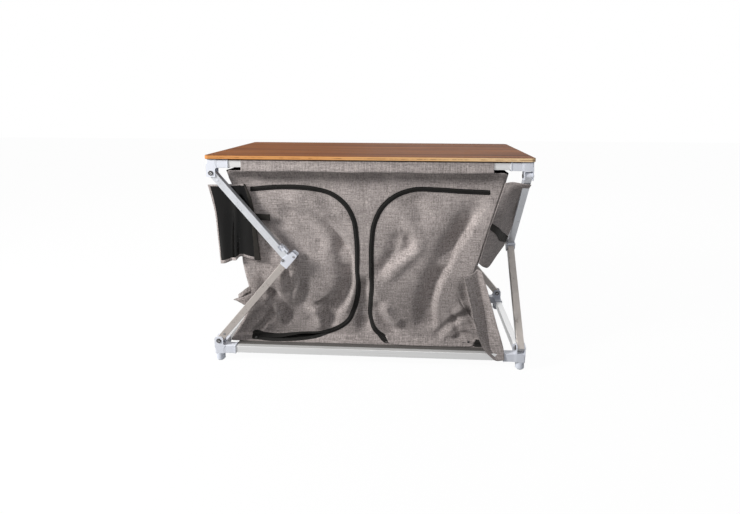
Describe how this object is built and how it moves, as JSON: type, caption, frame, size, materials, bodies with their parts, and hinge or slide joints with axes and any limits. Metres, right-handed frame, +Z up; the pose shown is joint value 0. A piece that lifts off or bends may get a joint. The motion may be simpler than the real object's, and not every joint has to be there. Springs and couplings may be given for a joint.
{
  "type": "camping cupboard",
  "caption": "Quick-fold camping cupboard with a wood-look top on folding legs and a grey cloth cabinet with zipped doors, standing half folded",
  "frame": {"origin": "on the floor, midway between the four feet, below the middle of the worktop", "axes": "X along the cupboard to the viewer's right, Y from front to back, Z up"},
  "size_m": [1, 0.5, 0.67],
  "materials": {
    "board": "wood-look worktop, brown grain along its length, pale orange edge",
    "tube": "satin, light silver grey",
    "moulding": "white nylon, fine satin",
    "foot": "bluish white plastic",
    "steel": "plain steel pins, rivets and screws",
    "cloth": "grey melange polyester with a black coated reverse",
    "zip_tape": "black zip tape",
    "webbing": "black webbing",
    "panel": "dark laminated hardboard"
  },
  "bodies": {
    "base": {"rail_base_front": "tube", "rail_base_rear": "tube", "rail_base_left": "tube", "rail_base_right": "tube", "bracket_base_fl": "moulding", "bracket_base_fr": "moulding", "bracket_base_rr": "moulding", "bracket_base_rl": "moulding", "feet": "foot", "base_pivot_pins": "steel", "floor_panel": "panel", "cabinet": "cloth", "door_left": "cloth", "door_right": "cloth", "zip_left": "zip_tape", "zip_right": "zip_tape", "flap_fl_upper": "cloth", "flap_fl_lower": "cloth", "flap_fr_upper": "cloth", "flap_fr_lower": "cloth", "strap_fl": "webbing", "strap_fr": "webbing"},
    "top": {"rail_top_front": "tube", "rail_top_rear": "tube", "rail_top_left": "tube", "rail_top_right": "tube", "bracket_top_fl": "moulding", "bracket_top_fr": "moulding", "bracket_top_rr": "moulding", "bracket_top_rl": "moulding", "worktop": "board", "board_screws": "steel", "top_pivot_pins": "steel", "rail_sleeves": "cloth"},
    "shelves": {"shelf_left": "panel", "shelf_right": "panel"},
    "lower_leg_fl": {"lower_tube_fl": "tube", "elbow_fork_fl": "moulding", "lower_fittings_fl": "steel"},
    "upper_leg_fl": {"upper_tube_fl": "tube", "upper_plugs_fl": "moulding"},
    "latch_fl": {"elbow_latch_fl": "moulding"},
    "lower_leg_fr": {"lower_tube_fr": "tube", "elbow_fork_fr": "moulding", "lower_fittings_fr": "steel"},
    "upper_leg_fr": {"upper_tube_fr": "tube", "upper_plugs_fr": "moulding"},
    "latch_fr": {"elbow_latch_fr": "moulding"},
    "lower_leg_rr": {"lower_tube_rr": "tube", "elbow_fork_rr": "moulding", "lower_fittings_rr": "steel"},
    "upper_leg_rr": {"upper_tube_rr": "tube", "upper_plugs_rr": "moulding"},
    "latch_rr": {"elbow_latch_rr": "moulding"},
    "lower_leg_rl": {"lower_tube_rl": "tube", "elbow_fork_rl": "moulding", "lower_fittings_rl": "steel"},
    "upper_leg_rl": {"upper_tube_rl": "tube", "upper_plugs_rl": "moulding"},
    "latch_rl": {"elbow_latch_rl": "moulding"}
  },
  "joints": [
    {"name": "fold", "type": "hinge", "parent": "base", "child": "lower_leg_fl", "pos_m": [-0.481, -0.231, 0.069], "axis": [0, 1, 0], "range_deg": [-40.35, 48.8], "deforming": ["cabinet", "door_left", "door_right", "zip_left", "zip_right", "flap_fl_upper", "flap_fl_lower", "flap_fr_upper", "flap_fr_lower", "strap_fl", "strap_fr"]},
    {"name": "elbow_fl", "type": "hinge", "parent": "lower_leg_fl", "child": "upper_leg_fl", "pos_m": [-0.26483, -0.231, 0.34198], "axis": [0, 1, 0], "range_deg": [-97.6, 80.7]},
    {"name": "latch_fl_slide", "type": "slide", "parent": "upper_leg_fl", "child": "latch_fl", "axis": [0.6475, 0, -0.7621], "range_m": [0, 0.008]},
    {"name": "fold_fr", "type": "hinge", "parent": "base", "child": "lower_leg_fr", "pos_m": [0.481, -0.231, 0.069], "axis": [-1, 0, 0], "range_deg": [-40.35, 48.8]},
    {"name": "elbow_fr", "type": "hinge", "parent": "lower_leg_fr", "child": "upper_leg_fr", "pos_m": [0.481, -0.01483, 0.34198], "axis": [-1, 0, 0], "range_deg": [-97.6, 80.7]},
    {"name": "latch_fr_slide", "type": "slide", "parent": "upper_leg_fr", "child": "latch_fr", "axis": [0, 0.6475, -0.7621], "range_m": [0, 0.008]},
    {"name": "fold_rr", "type": "hinge", "parent": "base", "child": "lower_leg_rr", "pos_m": [0.481, 0.231, 0.069], "axis": [0, -1, 0], "range_deg": [-40.35, 48.8]},
    {"name": "elbow_rr", "type": "hinge", "parent": "lower_leg_rr", "child": "upper_leg_rr", "pos_m": [0.26483, 0.231, 0.34198], "axis": [0, -1, 0], "range_deg": [-97.6, 80.7]},
    {"name": "latch_rr_slide", "type": "slide", "parent": "upper_leg_rr", "child": "latch_rr", "axis": [-0.6475, 0, -0.7621], "range_m": [0, 0.008]},
    {"name": "fold_rl", "type": "hinge", "parent": "base", "child": "lower_leg_rl", "pos_m": [-0.481, 0.231, 0.069], "axis": [1, 0, 0], "range_deg": [-40.35, 48.8]},
    {"name": "elbow_rl", "type": "hinge", "parent": "lower_leg_rl", "child": "upper_leg_rl", "pos_m": [-0.481, 0.01483, 0.34198], "axis": [1, 0, 0], "range_deg": [-97.6, 80.7]},
    {"name": "latch_rl_slide", "type": "slide", "parent": "upper_leg_rl", "child": "latch_rl", "axis": [0, -0.6475, -0.7621], "range_m": [0, 0.008]},
    {"name": "top_level", "type": "hinge", "parent": "upper_leg_fl", "child": "top", "pos_m": [-0.481, -0.231, 0.61496], "axis": [0, 1, 0], "range_deg": [-40.35, 48.8]},
    {"name": "shelf_rise", "type": "slide", "parent": "base", "child": "shelves", "axis": [0, 0, 1], "range_m": [-0.256, 0.212]}
  ],
  "couplings": [
    {"joint": "elbow_fl", "follows": "fold", "ratio": -2},
    {"joint": "fold_fr", "follows": "fold", "ratio": 1},
    {"joint": "elbow_fr", "follows": "fold", "ratio": -2},
    {"joint": "fold_rr", "follows": "fold", "ratio": 1},
    {"joint": "elbow_rr", "follows": "fold", "ratio": -2},
    {"joint": "fold_rl", "follows": "fold", "ratio": 1},
    {"joint": "elbow_rl", "follows": "fold", "ratio": -2},
    {"joint": "top_level", "follows": "fold", "ratio": 1},
    {"joint": "shelf_rise", "follows": "fold", "m_per_rad": -0.3}
  ]
}
